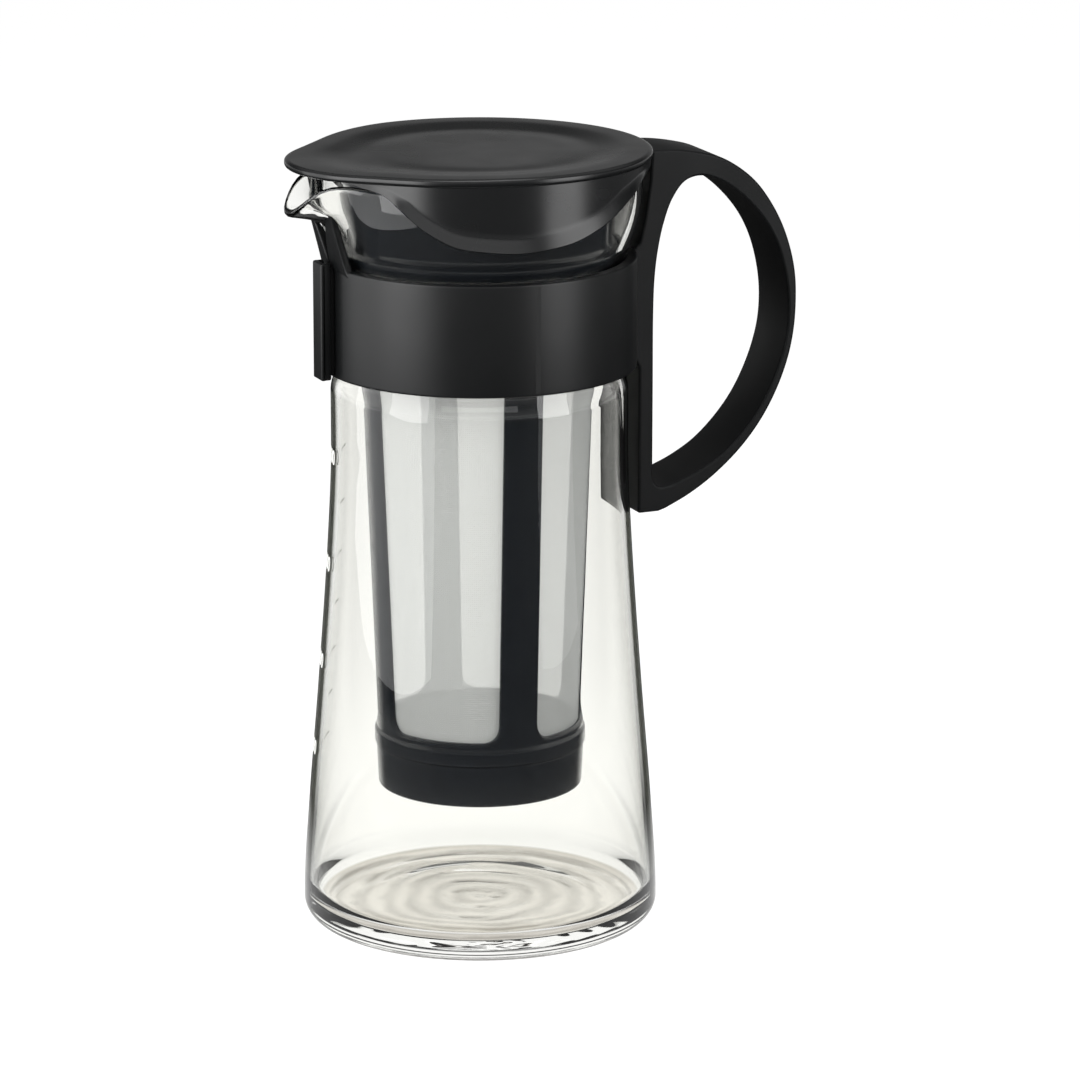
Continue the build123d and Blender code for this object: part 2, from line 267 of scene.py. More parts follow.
def finish_piece(name, shells, material, body, node=None, crease=35, flat_y=False, second=None):
    """A second material comes with the numbers of its faces. With flat_y, faces square to Y stay flat."""
    points, faces = [], []
    for shell_points, shell_faces in shells:
        base = len(points)
        points += [Vector(p) * MM for p in shell_points]
        faces += [tuple(i + base for i in f) for f in shell_faces]
    mesh = bpy.data.meshes.new(name)
    mesh.from_pydata(points, [], faces)
    mesh.materials.append(material)
    if second:
        mesh.materials.append(second[0])
        for index in second[1]:
            mesh.polygons[index].material_index = 1
    work = bmesh.new()
    work.from_mesh(mesh)
    bmesh.ops.remove_doubles(work, verts=work.verts, dist=1e-7)
    bmesh.ops.dissolve_degenerate(work, edges=work.edges, dist=1e-8)
    bmesh.ops.recalc_face_normals(work, faces=work.faces)
    work.to_mesh(mesh)
    work.free()
    mesh.polygons.foreach_set("use_smooth", [True] * len(mesh.polygons))
    mesh.set_sharp_from_angle(angle=radians(crease))
    if flat_y:
        for polygon in mesh.polygons:
            if abs(polygon.normal.y) > 0.9999:
                polygon.use_smooth = False
    piece = bpy.data.objects.new(name, mesh)
    bpy.context.scene.collection.objects.link(piece)
    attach(piece, body)
    if node:
        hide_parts(node)
    return piece


# ---------------- the jug's outline
FOOT_R, FOOT_ROUND = 43.44, 4.8
SHOULDER_R, SHOULDER_Z = 36.0, 120.0
BODY_WALL = height_curve(
    [(FOOT_ROUND, FOOT_R), (29, 42.05), (60, 39.5), (95, 37.0), (SHOULDER_Z, SHOULDER_R)]
)
WAIST_LOW, WAIST_TALL = 132.6, 5.2
NECK_R, NECK_TOP = 35.0, 164.0
FLARE_OUT, FLARE_TALL, FLARE_POWER = 4.3, 8.95, 1.6
RIM_TOP, GLASS_WALL = 186.6, 2.0
LIP_LINE = smooth_line(
    [(NECK_R, NECK_TOP), (35.3, 167), (36.2, 170.4), (37.8, 173.4), (40.2, 175.8), (43.2, 177.1),
     (46.0, 177.7), (48.4, 178.1)], 8
)
LIP_REACH, LIP_DIP = (14.2, 2.33), (8.9, 2.56)  # half widths in degrees, and how squarely each falls off


def jug_radius(z):
    """Outer radius of the jug below its mouth."""
    if z < FOOT_ROUND:
        return FOOT_R - FOOT_ROUND + sqrt(max(0.0, FOOT_ROUND**2 - (FOOT_ROUND - z) ** 2))
    if z <= SHOULDER_Z:
        return BODY_WALL(z)
    return SHOULDER_R - smooth_step((z - WAIST_LOW) / WAIST_TALL) * (SHOULDER_R - NECK_R)


def flare_radius(z):
    """Outer radius of the mouth away from the pouring lip."""
    rise = max(z, NECK_TOP) - NECK_TOP
    return NECK_R + FLARE_OUT * (1 - exp(-((rise / FLARE_TALL) ** FLARE_POWER)))


def mouth_line(angle):
    """The outer skin of the mouth at an angle, as (radius, height) from the neck to the rim. The pouring
    lip reaches out over a wider angle than the one over which its rim dips."""
    off = degrees(abs((angle + pi) % tau - pi))
    reach, dip = (exp(-((off / width) ** power)) for width, power in (LIP_REACH, LIP_DIP))
    line = []
    count = len(LIP_LINE) - 1
    for k, (lip_r, lip_z) in enumerate(LIP_LINE):
        z = NECK_TOP + (RIM_TOP - GLASS_WALL / 2 - NECK_TOP) * k / count
        r = flare_radius(z)
        line.append((r + (lip_r - r) * reach, z + (lip_z - z) * dip))
    return line


def inward(line, wall):
    """The line moved inwards by the wall, square to itself."""
    out = []
    for k, (r, z) in enumerate(line):
        a, b = line[max(k - 1, 0)], line[min(k + 1, len(line) - 1)]
        dr, dz = b[0] - a[0], b[1] - a[1]
        size = hypot(dr, dz)
        out.append((r - wall * dz / size, z + wall * dr / size))
    return out


# ---------------- materials
WAVE_NOISE, SWIRL_NOISE, FLOW_NOISE = 55.0, 45.0, 60.0  # cells of noise in a metre


def glass(name, tint, level):
    """Principled glass with gentle blowing waves; its shadow is light, as a thin clear wall's is. The tint
    is a colour, or a function that builds one."""
    material, tree = new_material(name)
    place = add_node(tree, "ShaderNodeTexCoord").outputs["Object"]
    waves = add_node(tree, "ShaderNodeTexNoise", {"Vector": place, "Scale": WAVE_NOISE, "Detail": 1.0})
    bump = add_node(tree, "ShaderNodeBump", {"Height": waves, "Strength": 0.05, "Distance": 0.6 * MM})
    body = add_node(
        tree,
        "ShaderNodeBsdfPrincipled",
        {
            "Base Color": tint(tree, place) if callable(tint) else tint,
            "Roughness": 0.0,
            "IOR": 1.473,
            "Specular IOR Level": level,
            "Transmission Weight": 1.0,
            "Normal": bump,
        },
    )
    pass_through = add_node(tree, "ShaderNodeBsdfTransparent", {"Color": (0.93, 0.94, 0.92, 1.0)})
    ray = add_node(tree, "ShaderNodeLightPath")
    mix = add_node(tree, "ShaderNodeMixShader", {0: ray.outputs["Is Shadow Ray"], 1: body, 2: pass_through})
    add_node(tree, "ShaderNodeOutputMaterial", {"Surface": mix})
    return material


def wall_tint(tree, place):
    """Clear face on, with painted shade where the wall is seen edge on, less so at the thin mouth: a dark
    line that stands in for the dark room that the glass's edges mirror and bend. The foot carries painted
    light and shade in warm grey rings about 6 mm apart, for the light that the ripples of its thick pressed
    floor bend and focus."""
    height = add_node(tree, "ShaderNodeSeparateXYZ", {"Vector": place}).outputs["Z"]
    thin = add_node(
        tree,
        "ShaderNodeMapRange",
        {"Value": height, "From Min": 168 * MM, "From Max": 174 * MM, "To Min": 1.0, "To Max": 0.72},
    )
    # painted shade: the tint turns dark grey-green where the wall is seen edge on, for the dark room its
    # edges mirror
    edge = add_node(tree, "ShaderNodeLayerWeight", {"Blend": 0.5}).outputs["Facing"]
    facing = add_node(tree, "ShaderNodeMath", {0: edge, 1: thin}, operation="MULTIPLY")
    tones = ((0.69, "#f6f7f2"), (0.725, "#b4b6af"), (0.76, "#181914"), (0.84, "#141510"), (0.89, "#4c4e47"),
             (1.0, "#5a5c54"))
    stops = [(at, chosen("glass_tint")) for at in (0.0, 0.5)] + [(at, linear(code)) for at, code in tones]
    side = add_node(tree, "ShaderNodeValToRGB", {"Fac": facing}, stops)

    # painted light and shade: warm grey rings in the foot's tint, for the light that the rippled floor bends
    # and focuses
    flat = add_node(tree, "ShaderNodeVectorMath", {0: place, 1: (1.0, 1.0, 0.0)}, operation="MULTIPLY")
    radius = add_node(tree, "ShaderNodeVectorMath", {0: flat}, operation="LENGTH").outputs["Value"]
    swirl = add_node(tree, "ShaderNodeTexNoise", {"Vector": flat, "Scale": SWIRL_NOISE, "Detail": 3.0})
    turns = add_node(tree, "ShaderNodeMath", {0: radius, 1: tau / (6.2 * MM)}, operation="MULTIPLY")
    shifted = add_node(tree, "ShaderNodeMath", {0: swirl, 1: 11.0, 2: turns}, operation="MULTIPLY_ADD")
    rings = add_node(tree, "ShaderNodeMath", {0: shifted}, operation="SINE")
    mixed = add_node(tree, "ShaderNodeMath", {0: rings, 1: 0.17, 2: swirl}, operation="MULTIPLY_ADD")
    stops = [(at, linear(code)) for at, code in ((0.25, "#857e72"), (0.5, "#aea79a"), (0.75, "#d4ccbe"))]
    painted_ripple_light = add_node(tree, "ShaderNodeValToRGB", {"Fac": mixed}, stops)
    foot = add_node(
        tree,
        "ShaderNodeMapRange",
        {"Value": height, "From Min": 0.9 * MM, "From Max": 1.6 * MM, "To Min": 1.0, "To Max": 0.0},
    )
    return add_node(tree, "ShaderNodeMix", {0: foot, 6: side, 7: painted_ripple_light}, data_type="RGBA").outputs[2]


def borosilicate_outside():
    """Borosilicate glass, blown and fire-polished: clear, with a painted dark grey-green shade line round its
    outline and painted rings of light and shade in its foot.
    """
    return glass("borosilicate_blown", wall_tint, 0.5)


def borosilicate_inside():
    """The same glass on the jug's inner skin. It adds no reflection of its own, which would lay a grey
    veil over the plastics behind the glass."""
    return glass("borosilicate_blown_inside", chosen("glass_tint"), 0.0)


def moulded_plastic(name, colour, roughness, level, grain_mm, depth_mm):
    """Injection-moulded polypropylene with the fine spark-eroded grain of its tool, made once for all the
    pieces that share it. Its roughness drifts a little, as the melt's flow leaves it."""
    if name in bpy.data.materials:
        return bpy.data.materials[name]
    material, tree = new_material(name)
    place = add_node(tree, "ShaderNodeTexCoord").outputs["Object"]
    pattern = {"Vector": place, "Detail": 2.0}
    grain = add_node(tree, "ShaderNodeTexNoise", {**pattern, "Scale": 1 / (grain_mm * MM), "Roughness": 0.55})
    flow = add_node(tree, "ShaderNodeTexNoise", {**pattern, "Scale": FLOW_NOISE})
    low, high = roughness - 0.03, roughness + 0.03
    rough = add_node(
        tree,
        "ShaderNodeMapRange",
        {"Value": flow, "From Min": 0.3, "From Max": 0.7, "To Min": low, "To Max": high},
    )
    bump = add_node(tree, "ShaderNodeBump", {"Height": grain, "Strength": 0.5, "Distance": depth_mm * MM})
    shader = add_node(
        tree,
        "ShaderNodeBsdfPrincipled",
        {"Base Color": colour, "Roughness": rough, "IOR": 1.49, "Specular IOR Level": level, "Normal": bump},
    )
    add_node(tree, "ShaderNodeOutputMaterial", {"Surface": shader})
    return material


def lid_polypropylene():
    """Polypropylene, semi-gloss black moulding: the lid's tool is polished finer, so its highlights are
    brighter and its saucer mirrors the room."""
    finish = {"roughness": 0.25, "level": 0.42, "grain_mm": 0.5, "depth_mm": 0.002}
    return moulded_plastic("polypropylene_semi_gloss_black", chosen("black"), **finish)


def black_polypropylene():
    """Polypropylene, satin black moulding: soft broad highlights, no mirror image."""
    finish = {"roughness": 0.38, "level": 0.34, "grain_mm": 0.35, "depth_mm": 0.006}
    return moulded_plastic("polypropylene_satin_black", chosen("black"), **finish)


def handle_polypropylene():
    """Polypropylene, matt black moulding: the strap's grained sides take almost no highlight."""
    finish = {"roughness": 0.5, "level": 0.16, "grain_mm": 0.35, "depth_mm": 0.008}
    return moulded_plastic("polypropylene_matt_black", chosen("black"), **finish)


def filter_polypropylene():
    """Polypropylene, polished blue-black moulding: clear highlights with soft edges."""
    finish = {"roughness": 0.16, "level": 0.5, "grain_mm": 0.6, "depth_mm": 0.0015}
    return moulded_plastic("polypropylene_polished_slate", chosen("slate"), **finish)


def woven_polyester():
    """Polyester monofilament mesh: a milky veil that shows dark shapes behind it. The real threads are
    0.1 mm apart, and are drawn 0.5 mm apart so that they show at all."""
    material, tree = new_material("polyester_mesh_white")
    uv = add_node(tree, "ShaderNodeUVMap", uv_map="weave")
    split = add_node(tree, "ShaderNodeSeparateXYZ", {"Vector": uv})
    threads = []
    for axis in ("X", "Y"):
        turns = {0: split.outputs[axis], 1: tau / (0.5 * MM)}
        phase = add_node(tree, "ShaderNodeMath", turns, operation="MULTIPLY")
        wave = add_node(tree, "ShaderNodeMath", {0: phase}, operation="COSINE")
        threads.append(add_node(tree, "ShaderNodeMath", {0: wave, 1: 0.5, 2: 0.5}, operation="MULTIPLY_ADD"))
    cover = add_node(tree, "ShaderNodeMath", {0: threads[0], 1: threads[1]}, operation="MAXIMUM")
    veil = add_node(tree, "ShaderNodeMapRange", {"Value": cover, "To Min": 0.24, "To Max": 0.36})
    bump = add_node(tree, "ShaderNodeBump", {"Height": cover, "Strength": 0.3, "Distance": 0.05 * MM})
    cloth = add_node(
        tree,
        "ShaderNodeBsdfPrincipled",
        {
            "Base Color": chosen("mesh_white"),
            "Roughness": 0.55,
            "IOR": 1.57,
            "Sheen Weight": 0.2,
            "Alpha": veil,
            "Normal": bump,
        },
    )
    add_node(tree, "ShaderNodeOutputMaterial", {"Surface": cloth})
    return material


def fired_enamel():
    """White enamel print, fired on the glass: opaque and slightly glossy, with a fine mottle of 0.4 mm."""
    material, tree = new_material("enamel_print_white")
    place = add_node(tree, "ShaderNodeTexCoord").outputs["Object"]
    mottle = add_node(tree, "ShaderNodeTexNoise", {"Vector": place, "Scale": 1 / (0.4 * MM), "Detail": 1.0})
    tones = {0: mottle, 6: linear("#e9e9e6"), 7: linear("#fbfbf8")}
    tone = add_node(tree, "ShaderNodeMix", tones, data_type="RGBA").outputs[2]
    ink = add_node(tree, "ShaderNodeBsdfPrincipled", {"Base Color": tone, "Roughness": 0.35, "IOR": 1.5})
    add_node(tree, "ShaderNodeOutputMaterial", {"Surface": ink})
    return material


# ---------------- settings
class BrewSizes(bpy.types.PropertyGroup):
    base_thickness: bpy.props.FloatProperty(
        name="Base Thickness", description="Height of the glass floor over the table",
        default=0.0046, min=0.002, max=0.008, unit="LENGTH"
    )
    base_ripple: bpy.props.FloatProperty(
        name="Base Ripple", description="Depth of the rings left in the glass floor",
        default=0.00005, min=0.0, max=0.0005, unit="LENGTH"
    )
    tick_step: bpy.props.IntProperty(
        name="Tick Step", description="Millilitres between two scale marks", default=50, min=10, max=200
    )
    window_border: bpy.props.FloatProperty(
        name="Window Border", description="Width of the rounded border of a filter window",
        default=0.0008, min=0.0002, max=0.001, unit="LENGTH"
    )
    handle_edge: bpy.props.FloatProperty(
        name="Handle Edge", description="Rounding of the handle's long edges",
        default=0.0006, min=0.0002, max=0.0008, unit="LENGTH"
    )
    dish_depth: bpy.props.FloatProperty(
        name="Lid Dish", description="Depth of the saucer in the lid",
        default=0.0006, min=0.0, max=0.001, unit="LENGTH"
    )


def colour_setting(name, description, code):
    """A colour that the panel shows, with its hex default."""
    return bpy.props.FloatVectorProperty(
        name=name, description=description, subtype="COLOR", size=3, min=0, max=1, default=linear(code)[:3]
    )


class BrewColours(bpy.types.PropertyGroup):
    glass_tint: colour_setting("Glass", "Colour of the glass", "#fdfdfa")
    black: colour_setting("Black Plastic", "Band, handle and lid", "#0c0d0e")
    slate: colour_setting("Filter Plastic", "Filter frame and cap", "#15181d")
    mesh_white: colour_setting("Filter Mesh", "Woven sleeve of the filter", "#eeeff1")


# ---------------- glass jug
FOOT_RECESS = ((9, 0.35), (18, 0.35), (24, 0.33), (27, 0.23), (29, 0.12), (31, 0.03), (33, 0.0), (35, 0.0))
WAIST_HEIGHTS = [126, 132.6, 133.4, 134.2, 135.0, 135.8, 136.6, 137.2, 137.8, 146, 155]
BODY_STEPS, RIM_STEPS, FLOOR_STEPS = 36, 10, 60
INNER_CORNER = 6.0  # rounding between the floor and the wall


def level_ring(r, z):
    """One level ring about the jug's axis."""
    return [polar(r, a, z) for a in ANGLES]


def mouth_rings(lines):
    """Rings through the mouth's lines, one line for each angle."""
    return [[polar(point[0], a, point[1]) for point, a in zip(points, ANGLES)] for points in zip(*lines)]


def floor_wave(r, a):
    """Uneven rings, as pressing leaves them in the glass floor."""
    wide = sin(tau * r / 7.9 + 1.3 * sin(2 * a + r / 9))
    return wide + 0.5 * sin(tau * r / 4.3 + 1.9 * sin(3 * a + 1.0 + r / 13))


def jug_skin(sizes):
    """The jug's skin, and the numbers of the faces that lie inside it."""
    floor, ripple = sizes.base_thickness / MM, sizes.base_ripple / MM
    foot = [(FOOT_R - FOOT_ROUND * (1 - sin(t)), FOOT_ROUND * (1 - cos(t))) for t in quarter_turn(12)]
    body = [FOOT_ROUND + (SHOULDER_Z - FOOT_ROUND) * k / BODY_STEPS for k in range(1, BODY_STEPS + 1)]
    heights = body + WAIST_HEIGHTS
    rings = [level_ring(r, z) for r, z in (*FOOT_RECESS, *foot)]
    rings += [level_ring(jug_radius(z), z) for z in heights]

    outer_lines = [mouth_line(a) for a in ANGLES]
    inner_lines = [inward(line, GLASS_WALL) for line in outer_lines]
    rings += mouth_rings(outer_lines)
    for k in range(1, RIM_STEPS):
        turn = pi * k / RIM_STEPS
        ring = []
        for outer, inner, a in zip(outer_lines, inner_lines, ANGLES):
            (r0, z0), (r1, z1) = outer[-1], inner[-1]
            out_r, out_z = (r0 - r1) / 2, (z0 - z1) / 2
            r = (r0 + r1) / 2 + out_r * cos(turn) - out_z * sin(turn)
            z = (z0 + z1) / 2 + out_z * cos(turn) + out_r * sin(turn)
            ring.append(polar(r, a, z))
        rings.append(ring)
    rim = len(rings)
    rings += reversed(mouth_rings(inner_lines))

    low = floor + INNER_CORNER
    rings += [level_ring(jug_radius(z) - GLASS_WALL, z) for z in reversed(heights) if z > low + 0.5]
    flat = jug_radius(low) - GLASS_WALL - INNER_CORNER
    rings += [level_ring(flat + INNER_CORNER * cos(t), low - INNER_CORNER * sin(t)) for t in quarter_turn(10)]
    for k in range(1, FLOOR_STEPS):
        r = flat * (1 - k / FLOOR_STEPS)
        depth = ripple * smooth_step(r / 4) * smooth_step((flat - r) / 5)
        rings.append([polar(r, a, floor + depth * floor_wave(r, a)) for a in ANGLES])
    points, faces = skin(rings, first=(0, 0, FOOT_RECESS[0][1]), last=(0, 0, floor))
    inside = [*range(rim * AROUND, (len(rings) - 1) * AROUND), *range(len(faces) - AROUND, len(faces))]
    return (points, faces), inside


class BREW_OT_jug(bpy.types.Operator):
    """Build the glass jug: heavy rippled base, waist, neck, flared mouth and pouring lip"""

    bl_idname = "brew.jug"
    bl_label = "Glass Jug"

    def execute(self, context):
        shell, inside = jug_skin(context.scene.brew_sizes)
        inner, outer = (borosilicate_inside(), inside), borosilicate_outside()
        finish_piece("glass_jug_blown", [shell], outer, "root", "glass_jug", crease=60, second=inner)
        return {"FINISHED"}


# ---------------- scale marks on the glass
FIRST_MARK, LAST_MARK, NUMBER_EVERY = 200, 500, 100  # millilitres
LONG_TICK, SHORT_TICK, TICK_THICK, PRINT_DEPTH = 8 * MM, 5 * MM, 0.6 * MM, 0.06 * MM
NUMBER_LEFT, NUMBER_SIZE = 9.5 * MM, 5.2 * MM
PRINT_ANGLE, PRINT_LIFT = radians(-35), 0.05  # where the print stands round the jug, and how proud of it


def level_for(volume_ml, floor):
    """Height to which the jug is filled by a volume, found by adding up thin slices."""
    z, held, slice_mm = floor, 0.0, 0.1
    while held < volume_ml and z < NECK_TOP:
        held += pi * (jug_radius(z) - GLASS_WALL) ** 2 * slice_mm / 1000
        z += slice_mm
    return z


def tick_tree(material):
    """Geometry nodes: one thin bar on every point, as long as the point's own length."""
    tree = bpy.data.node_groups.new("scale_ticks", "GeometryNodeTree")
    for name, kind in (("Geometry", "Geometry"), ("Thickness", "Float"), ("Depth", "Float")):
        tree.interface.new_socket(name, in_out="INPUT", socket_type="NodeSocket" + kind)
    tree.interface.new_socket("Geometry", in_out="OUTPUT", socket_type="NodeSocketGeometry")
    given = add_node(tree, "NodeGroupInput").outputs
    size = add_node(tree, "ShaderNodeCombineXYZ", {"X": 1.0, "Y": given["Depth"], "Z": given["Thickness"]})
    counts = {"Vertices X": 12, "Vertices Y": 2, "Vertices Z": 2}
    bar = add_node(tree, "GeometryNodeMeshCube", {"Size": size, **counts})
    shift = add_node(tree, "GeometryNodeTransform", {"Geometry": bar, "Translation": (0.5, 0.0, 0.0)})
    points = add_node(tree, "GeometryNodeMeshToPoints", {"Mesh": given["Geometry"]})
    length = add_node(tree, "GeometryNodeInputNamedAttribute", {"Name": "length"}, data_type="FLOAT")
    along = add_node(tree, "ShaderNodeCombineXYZ", {"X": length.outputs["Attribute"], "Y": 1.0, "Z": 1.0})
    placed = {"Points": points, "Instance": shift, "Scale": along}
    bars = add_node(tree, "GeometryNodeInstanceOnPoints", placed)
    real = add_node(tree, "GeometryNodeRealizeInstances", {"Geometry": bars})
    paint = add_node(tree, "GeometryNodeSetMaterial", {"Geometry": real, "Material": material})
    add_node(tree, "NodeGroupOutput", {"Geometry": paint})
    return tree


def wrap_on_jug(point):
    """Lays a flat print point (across, out, up) in metres on the jug's wall, in millimetres."""
    across, out, up = (c / MM for c in point)
    radius = jug_radius(up) + PRINT_LIFT + out
    return polar(radius, PRINT_ANGLE + across / radius, up)


def print_number(text, up):
    """A number as a thin mesh that lies in the print's plane, level with its tick."""
    curve = bpy.data.curves.new("scale_number", "FONT")
    curve.body, curve.align_y = text, "CENTER"
    curve.size, curve.extrude = NUMBER_SIZE, PRINT_DEPTH / 2
    points, faces = evaluated(curve)
    return [(x + NUMBER_LEFT, z, y + up) for x, y, z in points], faces


class BREW_OT_scale(bpy.types.Operator):
    """Print the plain fill scale on the glass: ticks, with a number at every hundred millilitres"""

    bl_idname = "brew.scale"
    bl_label = "Fill Scale"

    def execute(self, context):
        sizes, material = context.scene.brew_sizes, fired_enamel()
        volumes = range(FIRST_MARK, LAST_MARK + 1, sizes.tick_step)
        marks = [(0.0, 0.0, level_for(volume, sizes.base_thickness / MM) * MM) for volume in volumes]
        seeds = bpy.data.meshes.new("tick_points")
        seeds.from_pydata(marks, [], [])
        lengths = [SHORT_TICK if volume % NUMBER_EVERY else LONG_TICK for volume in volumes]
        seeds.attributes.new("length", "FLOAT", "POINT").data.foreach_set("value", lengths)
        shells = [evaluated(seeds, tick_tree(material), {"Thickness": TICK_THICK, "Depth": PRINT_DEPTH})]
        for volume, (_, _, up) in zip(volumes, marks):
            if volume % NUMBER_EVERY == 0:
                shells.append(print_number(str(volume), up))
        wrapped = [([wrap_on_jug(p) for p in points], faces) for points, faces in shells]
        finish_piece("fill_scale_print", wrapped, material, "root", crease=40)
        return {"FINISHED"}


# ---------------- band and handle
BAND_LOW, BAND_HIGH, BAND_IN, BAND_OUT = 138.5, 165.5, 35.2, 38.0
HALF_SLIT, FLANGE_THICK, FLANGE_OUT, FLANGE_IN = 0.45, 1.2, -40.2, -37.0
HANDLE_WIDTH = 18.0


def band_skin():
    """The open ring round the neck."""
    section = rounded_box(BAND_IN, BAND_OUT, BAND_LOW, BAND_HIGH, 0.6, 6)
    open_half = HALF_SLIT / ((BAND_IN + BAND_OUT) / 2)
    angles = [open_half + (tau - 2 * open_half) * j / AROUND for j in range(AROUND + 1)]
    return skin([[polar(r, a, z) for r, z in section] for a in angles], first="cap", last="cap")


def glass_underside(angle, radius):
    """Height of the mouth's outer skin over a place outside the neck; high up where no glass is."""
    line = mouth_line(angle)
    return height_on(line, radius, before=line[0][1], after=500.0)


def tongue_skin(side):
    """One tongue that rises from the band's end and carries the pouring lip's flank from below."""
    low, top, thick, steps = 163.0, 180.6, 1.9, 30
    tip, draw_in = 1.3, 0.75  # height of its rounded end, and how far that end draws in
    gap, soft = 0.25, 0.8  # its distance from the glass, and how gently it bends away under it
    base_r, lean = 36.1, 0.257
    inner_edge = height_curve([(low, 0.55), (168.5, 0.9), (174, 2.6), (top, 5.2)])
    outer_edge = height_curve([(low, 9.4), (166, 8.4), (171, 8.0), (176, 7.9), (top, 8.2)])
    rings = []
    for k in range(steps + 1):
        z = low + (top - low) * k / steps
        end = max(0.0, (z - (top - tip)) / tip)
        shrink = draw_in * (1 - sqrt(max(0.0, 1 - end * end)))
        in_r = base_r + (z - NECK_TOP) * lean
        ring = []
        for y, d in rounded_box(inner_edge(z) + shrink, outer_edge(z) - shrink, 0.0, thick, 0.55, 4):
            r = in_r + thick / 2 + (d - thick / 2) * (1 - shrink)
            roof = glass_underside(atan2(y, r), r) - gap
            at = z if z < roof - soft else roof - soft * exp(-(z - roof + soft) / soft)
            ring.append((-sqrt(r * r - y * y), side * y, at))
        rings.append(ring)
    return skin(rings, first="cap", last="cap")


def handle_lines():
    """Outer outline and finger opening of the handle, as (x, height)."""
    arch = smooth_line(
        [(41.3, 189.3), (47, 189.1), (53, 188.2), (59, 186.6), (64, 183.9), (68.8, 180), (72.6, 175.2),
         (76, 169.2), (78.4, 162.8), (79.8, 156.4), (80.15, 150), (79.7, 142.4), (78.2, 135.2), (75.3, 127.6),
         (71.1, 120.2), (65.5, 113.4), (58.2, 107.1), (51.5, 102.9), (45.5, 100.1)], 6
    )
    spine = [(43.6, 99.55, 0.0), (38.2, 99.5, 0.7), (38.2, 136.2, 0.8), (36.6, 138.6, 0.0),
             (36.6, 165.4, 0.0), (38.2, 166.9, 0.8), (39.6, 173.0, 2.0), (40.9, 182.0, 2.0),
             (41.2, 189.35, 0.5)]
    opening = smooth_line(
        [(42.0, 112), (42.0, 130), (42.0, 150), (42.3, 158), (43.1, 164.6), (44.6, 171.3), (46.9, 177.2),
         (50.2, 181.2), (54.2, 182.2), (58.6, 181.0), (63.6, 177.9), (68.2, 173.7), (72.1, 168.8),
         (75.0, 163.2), (77.0, 156.6), (78.0, 149.5), (77.7, 142), (76.2, 135.6), (73.6, 129), (70.3, 123.1),
         (65.8, 117.5), (60.3, 112.5), (54.4, 109), (50.2, 107.2), (46.4, 105.9), (43.6, 105.9),
         (42.2, 107.6), (42.0, 112)], 6
    )
    return rounded_outline(spine + [p + (0.0,) for p in arch[1:]], 0.5, 4), opening[:-1]


def handle_skin(edge):
    """The strap handle as a flat plate with rounded long edges."""
    curve = bpy.data.curves.new("handle_outline", "CURVE")
    curve.dimensions, curve.fill_mode = "2D", "BOTH"
    for line in handle_lines():
        spline = curve.splines.new("POLY")
        spline.points.add(len(line) - 1)
        for point, (x, z) in zip(spline.points, line):
            point.co = (x, z, 0.0, 1.0)
        spline.use_cyclic_u = True
    curve.extrude, curve.offset = HANDLE_WIDTH / 2 - edge, -edge
    curve.bevel_depth, curve.bevel_resolution = edge, 3
    points, faces = evaluated(curve)
    return [(x, -z, y) for x, y, z in points], faces


class BREW_OT_handle(bpy.types.Operator):
    """Build the neck band with its flanges, the tongues under the pouring lip, and the strap handle"""

    bl_idname = "brew.handle"
    bl_label = "Band and Handle"

    def execute(self, context):
        strap = handle_skin(context.scene.brew_sizes.handle_edge / MM)
        matt = (handle_polypropylene(), range(len(strap[1])))
        shells = [strap, band_skin()]
        for side in (-1, 1):
            low, high = sorted((side * HALF_SLIT, side * (HALF_SLIT + FLANGE_THICK)))
            shells.append(block((FLANGE_OUT, low, BAND_LOW + 0.8), (FLANGE_IN, high, BAND_HIGH - 0.1), 0.2))
            shells.append(tongue_skin(side))
        name, satin = "band_and_handle_moulding", black_polypropylene()
        finish_piece(name, shells, satin, "root", "handle_band", flat_y=True, second=matt)
        return {"FINISHED"}


# ---------------- band clip
CLIP_LOW, CLIP_HIGH = 138.2, 166.7
CLIP_FACE, CLIP_BACK, CLIP_HALF = -41.7, -39.15, 2.9
FACE_THICK, FLOOR_THICK, CLIP_WALL = 1.4, 1.4, 1.18


class BREW_OT_clip(bpy.types.Operator):
    """Build the channel that holds the band's two flanges together"""

    bl_idname = "brew.clip"
    bl_label = "Band Clip"

    def execute(self, context):
        inner_face = CLIP_FACE + FACE_THICK
        face = block((CLIP_FACE, -CLIP_HALF, CLIP_LOW), (inner_face, CLIP_HALF, CLIP_HIGH), 0.45, 4)
        sides = [
            block((CLIP_FACE + 0.4, low, CLIP_LOW + 0.4), (CLIP_BACK, low + CLIP_WALL, CLIP_HIGH), 0.25, 3)
            for low in (-CLIP_HALF, CLIP_HALF - CLIP_WALL)
        ]
        half, low = CLIP_HALF - 0.05, CLIP_LOW + 0.05
        floor = block((CLIP_FACE + 0.2, -half, low), (CLIP_BACK, half, low + FLOOR_THICK), 0.4, 3)
        shells, satin = [face, *sides, floor], black_polypropylene()
        finish_piece("band_clip_channel", shells, satin, "band_clip", "band_clip")
        return {"FINISHED"}


# ---------------- lid
LID_R, NOSE_TIP, NOSE_R = 41.55, 47.95, 26.5
LID_TOP, LID_UNDER = 191.5, 189.4
LID_ROUND, RIM_DROP = 1.3, 0.7  # width and height of the rim's round top edge
LID_SIDE_LOW, UNDER_ROUND = 190.2, 0.8  # where the lid's edge ends, and the rounding under it
SAUCER_Z = LID_TOP - 0.07  # the level from which the saucer's heights are measured
BRIM_R = 36
BEND, BEND_FROM, BEND_LENGTH = 0.8, -8.0, 38.0  # how the lid bends down towards its nose
UNDER_BEND = 0.8  # share of that bend which the underside follows


